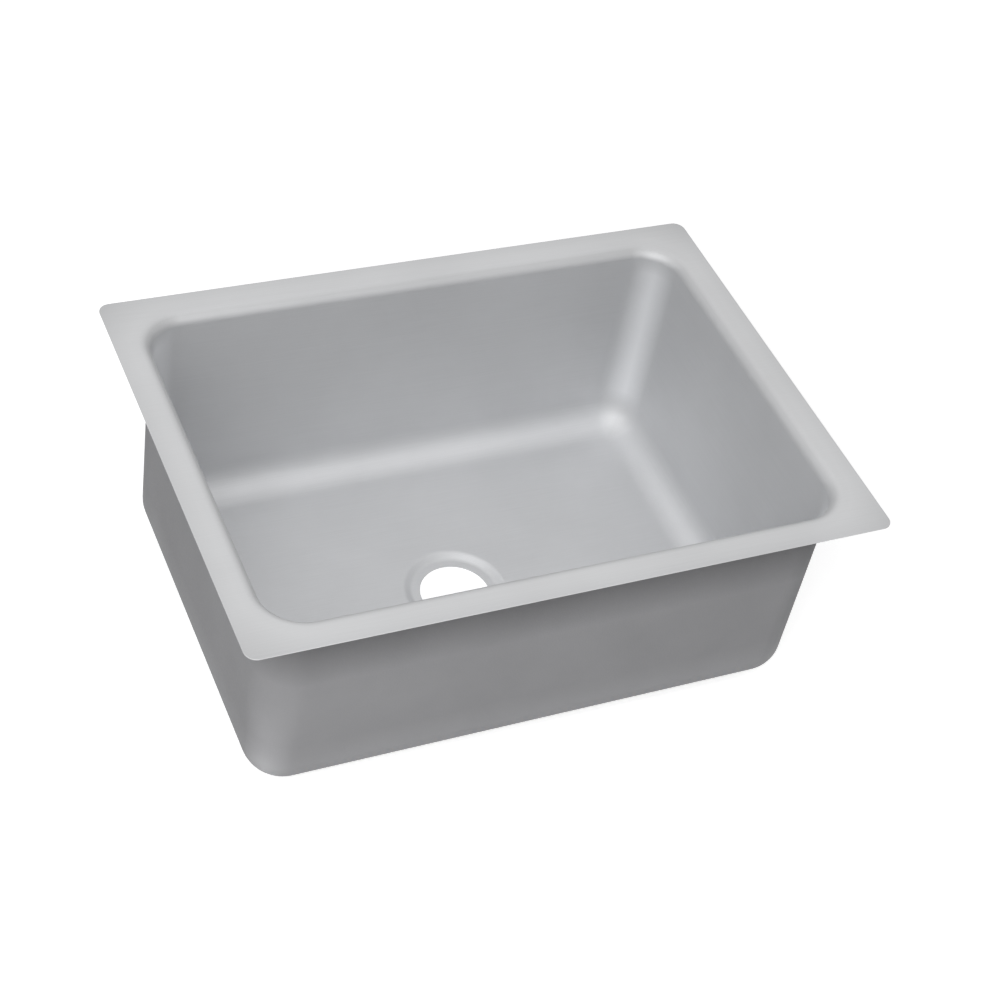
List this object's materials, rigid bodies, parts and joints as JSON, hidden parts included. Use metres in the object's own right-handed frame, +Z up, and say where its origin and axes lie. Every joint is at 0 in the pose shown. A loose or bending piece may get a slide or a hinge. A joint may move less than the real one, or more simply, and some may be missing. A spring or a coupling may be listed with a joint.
{
  "type": "undermount kitchen sink",
  "caption": "Undermount kitchen sink: one deep drawn steel bowl with a flat flange, rolled rim, coved floor pitched to a recessed drain hole, sprayed coat and rubber floor pads.",
  "frame": {"origin": "on the drain's axis at the underside of the drain seat, the lowest face", "axes": "+X along the sink's length to its right, +Y from its front to its back, +Z up out of the bowl"},
  "size_m": [0.78, 0.572, 0.308],
  "materials": {
    "satin_steel": "satin, fine grain",
    "sprayed_coat": "matt sprayed, lightly stippled",
    "pad_rubber": "matt"
  },
  "bodies": {
    "root": {"bowl": "satin_steel", "undercoat": "sprayed_coat", "left_floor_pad": "pad_rubber", "right_floor_pad": "pad_rubber"}
  },
  "joints": []
}
